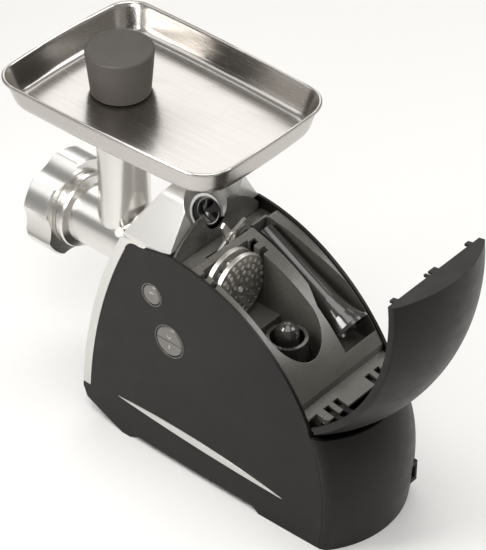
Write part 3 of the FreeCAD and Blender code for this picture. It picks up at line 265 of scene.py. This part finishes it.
# ---- tray: one deep-drawn sheet ---------------------------------------------------------------
TRAY_FRONT, TRAY_REAR = TUBE_Y - 70.0, TUBE_Y + 169.0
TRAY_CORNERS = ((-86.0, TRAY_FRONT), (86.0, TRAY_FRONT), (78.5, TRAY_REAR), (-78.5, TRAY_REAR))
TRAY_MIDDLE = Vector((0.0, (TRAY_FRONT + TRAY_REAR) / 2, 0.0))
SHEET = 1.2
SHEET_SIDE = -1.0               # the sheet gets its thickness below the drawn side
# how far inside the rim's outline the sheet's upper side lies, and its height: hemmed rim, wall, cove
TRAY_SIDE = ((0.0, 342.0), (0.0, 343.4), (0.7, 344.3), (1.7, 344.3), (2.6, 343.2), (3.6, 339.5),
             (7.0, 326.0), (8.0, 322.4), (9.2, 320.0), (11.2, 318.2), (14.0, 317.4), (17.5, 317.2))
TRAY_FLOOR_Z = TRAY_SIDE[-1][1]
RIM_CORNER, RIM_BOW = 27.0, 2.0             # corner radius, and how far each side bows outwards
BOW_HALF_X, BOW_HALF_Y = 60.0, 92.0         # half the length of the sides that bow
MEAN_HALF_WIDTH = 82.0
COLLAR_R, COLLAR_LOW = 18.9, 300.0
COLLAR_LEAD = 1.6                           # how much wider the collar starts in the floor


def rim_outline(bm):
    """Rounded, slightly bowed outline of the rim as one loop of edges."""
    corners = [bm.verts.new(Vector((x, y, TRAY_SIDE[0][1])) * MM) for x, y in TRAY_CORNERS]
    bm.faces.new(corners)
    bmesh.ops.bevel(bm, geom=corners, offset=RIM_CORNER * MM, segments=12, profile=0.5, affect="VERTICES",
                    material=-1)
    sides = [e for e in bm.edges if e.calc_length() > BOW_HALF_X * MM]
    bmesh.ops.subdivide_edges(bm, edges=sides, cuts=9)
    bmesh.ops.delete(bm, geom=bm.faces[:], context="FACES_ONLY")
    for v in bm.verts:
        x, y = v.co.x / MM, v.co.y / MM - TRAY_MIDDLE.y
        if abs(x) < BOW_HALF_X:
            v.co.y += math.copysign(RIM_BOW * (1 - (x / BOW_HALF_X) ** 2), y) * MM
        elif abs(y) < BOW_HALF_Y:
            v.co.x += math.copysign(RIM_BOW * (1 - (y / BOW_HALF_Y) ** 2), x) * MM
    return bm.edges[:]


def drawn_tray():
    """The rim's outline drawn down into wall and cove, joined to the collar over the feed tube."""
    bm = bmesh.new()
    loop = rim_outline(bm)
    width, depth = MEAN_HALF_WIDTH, (TRAY_REAR - TRAY_FRONT) / 2
    for (before, _), (inset, height) in zip(TRAY_SIDE, TRAY_SIDE[1:]):
        new = bmesh.ops.extrude_edge_only(bm, edges=loop)["geom"]
        loop = [e for e in new if isinstance(e, bmesh.types.BMEdge)]
        ring = [v for v in new if isinstance(v, bmesh.types.BMVert)]
        shrink = Vector(((width - inset) / (width - before), (depth - inset) / (depth - before), 1.0))
        bmesh.ops.scale(bm, vec=shrink, verts=ring, space=Matrix.Translation(-TRAY_MIDDLE * MM))
        for v in ring:
            v.co.z = height * MM
    centre = Matrix.Translation(Vector((0, TUBE_Y, TRAY_FLOOR_Z)) * MM)
    mouth = bmesh.ops.create_circle(bm, cap_ends=False, segments=96, matrix=centre,
                                    radius=(COLLAR_R + COLLAR_LEAD) * MM)["verts"]
    mouth_loop = list({e for v in mouth for e in v.link_edges})
    bmesh.ops.bridge_loops(bm, edges=loop + mouth_loop)
    loop = mouth_loop
    for radius, height in ((COLLAR_R + 0.4, TRAY_FLOOR_Z - 0.5), (COLLAR_R, TRAY_FLOOR_Z - 1.8),
                           (COLLAR_R, COLLAR_LOW)):
        new = bmesh.ops.extrude_edge_only(bm, edges=loop)["geom"]
        loop = [e for e in new if isinstance(e, bmesh.types.BMEdge)]
        for v in (g for g in new if isinstance(g, bmesh.types.BMVert)):
            out = Vector((v.co.x, v.co.y - TUBE_Y * MM, 0)).normalized() * radius * MM
            v.co = Vector((out.x, out.y + TUBE_Y * MM, height * MM))
    bmesh.ops.recalc_face_normals(bm, faces=bm.faces)
    tray = piece("drawn_tray", bm, MATERIALS["stainless_sheet"], "tray", smooth=50.0)
    wall = tray.modifiers.new("sheet", "SOLIDIFY")
    wall.thickness, wall.offset = SHEET * MM, SHEET_SIDE
    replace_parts(tray, "tray")


drawn_tray()


# ---- release button: dished cap on a stem ----------------------------------------------------
RELEASE_AT = Vector((0.0, TUBE_Y + 98.0, 238.0))
RELEASE_WAY = Vector((0.0, 0.8, 0.6))
release = turned(((-30, 0), (-30, 3.5), (-9, 3.5), (-9, 13.0), (-1.6, 13.0), (-0.8, 12.8), (-0.2, 12.3),
                  (0, 11.5), (0, 10.6), (-0.4, 10.0), (-2.2, 6.4), (-3.4, 3.6), (-3.9, 1.6), (-4.0, 0)),
                 RELEASE_AT, RELEASE_WAY)
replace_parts(piece("dished_release_button", release, MATERIALS["smoked_button"], "release_button"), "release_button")


# ---- rims of the button holes, which stand just proud of the panel -----------------------------
def button_rim(name, at, radius, leans):
    """A thin half-round bead round a button's hole, laid on the leaning panel."""
    bead = ((-0.9, radius + 0.2), (0.1, radius + 0.2), (0.45, radius + 0.5), (0.5, radius + 0.9),
            (0.3, radius + 1.3), (-0.9, radius + 1.5))
    piece(name, turned(bead, at, (1, 0, leans)), MATERIALS["dark_inner_plastic"], "root",
          smooth=60.0)


PANEL_LEAN = 0.0187
button_rim("power_button_rim", Vector((60.14, TUBE_Y + 106.0, 137.0)), 15.1, PANEL_LEAN)
button_rim("reverse_button_rim", Vector((59.39, TUBE_Y + 86.0, 177.0)), 10.1, PANEL_LEAN)


# ---- raised marks on the push buttons: 0 and 1 on the large one, a bar on the small one -----------
MARK_SUNK, MARK_PROUD = 0.25, 0.3           # how deep a mark sits in its button and stands off it
POWER_AT = Vector((60.1, TUBE_Y + 106.0, 137.0))
REVERSE_AT = Vector((59.3, TUBE_Y + 86.0, 177.0))


def oval_mark(name, at, half_y, half_z, line, body):
    """A raised oval line, flat on the button."""
    inside, outside = half_z - line / 2, half_z + line / 2
    bm = turned(((-MARK_SUNK, inside), (0.2, inside), (MARK_PROUD, half_z), (0.2, outside),
                 (-MARK_SUNK, outside)), at, (1, 0, 0), steps=40)
    bmesh.ops.scale(bm, vec=(1, half_y / half_z, 1), verts=bm.verts, space=Matrix.Translation(-at * MM))
    piece(name, bm, PRINT, body)


def bar_mark(name, at, half_y, half_z, body):
    """A raised straight mark, flat on the button."""
    bm = rounded_bar(at.x - MARK_SUNK, at.x + MARK_PROUD, at.y - half_y, at.y + half_y,
                     at.z - half_z, at.z + half_z, 0.15)
    piece(name, bm, PRINT, body)


oval_mark("off_mark", POWER_AT + Vector((0.25, 0, 6.4)), 2.1, 2.6, 0.55, "power_button")
bar_mark("on_mark", POWER_AT + Vector((0.25, 0, -6.4)), 0.35, 2.4, "power_button")
bar_mark("reverse_mark", REVERSE_AT + Vector((0.25, 0, 2.2)), 2.6, 0.3, "reverse_button")


# ---- floor, light, camera -----------------------------------------------------------------
def stage_floor():
    bm = bmesh.new()
    bmesh.ops.create_grid(bm, x_segments=1, y_segments=1, size=6.0)
    mesh = bpy.data.meshes.new("floor")
    bm.to_mesh(mesh)
    bm.free()
    material, _, surface, _ = start("pale_floor", Roughness=0.9)
    surface.inputs["Base Color"].default_value = linear("#F7F6F4")
    mesh.materials.append(material)
    floor = bpy.data.objects.new("floor", mesh)
    bpy.context.scene.collection.objects.link(floor)


def softbox(name, at, aim, width, height, watts):
    light = bpy.data.lights.new(name, "AREA")
    light.shape = "RECTANGLE"
    light.size, light.size_y = width, height
    light.energy = watts
    made = bpy.data.objects.new(name, light)
    bpy.context.scene.collection.objects.link(made)
    made.location = at
    made.rotation_euler = (Vector(aim) - Vector(at)).to_track_quat("-Z", "Y").to_euler()


stage_floor()
softbox("overhead", (0.15, 0.2, 1.6), (0, 0, 0.15), 1.1, 1.1, 12)
softbox("far_window", (-1.25, -1.15, 1.55), (0, 0, 0.33), 1.7, 1.3, 11)
softbox("right_card", (1.25, -1.15, 1.55), (0, 0, 0.33), 1.0, 1.3, 5)
softbox("left_card", (-1.15, 1.15, 1.55), (0, 0, 0.33), 1.0, 1.0, 15)
softbox("right_top", (0.25, -0.07, 0.41), (0.06, -0.05, 0.20), 0.12, 0.20, 0.9)

world = bpy.data.worlds.new("studio")
bpy.context.scene.world = world
world.use_nodes = True
world.node_tree.nodes["Background"].inputs["Color"].default_value = linear("#C2C1BF")
world.node_tree.nodes["Background"].inputs["Strength"].default_value = 0.6
bpy.context.scene.view_settings.view_transform = "Standard"


def camera(azimuth, elevation, at, lens):
    a, e = math.radians(azimuth), math.radians(elevation)
    back = Vector((math.sin(a) * math.cos(e), -math.cos(a) * math.cos(e), math.sin(e)))
    right = Vector((math.cos(a), math.sin(a), 0.0))
    turn = Matrix((right, back.cross(right), back)).transposed().to_4x4()
    data = bpy.data.cameras.new("camera")
    data.lens, data.sensor_width, data.clip_end = lens, 36.0, 50.0
    made = bpy.data.objects.new("camera", data)
    bpy.context.scene.collection.objects.link(made)
    made.matrix_world = Matrix.Translation(at) @ turn
    bpy.context.scene.camera = made


camera(azimuth=131.17, elevation=38.32, at=(1.2309, 1.0755, 1.4818), lens=161.15)
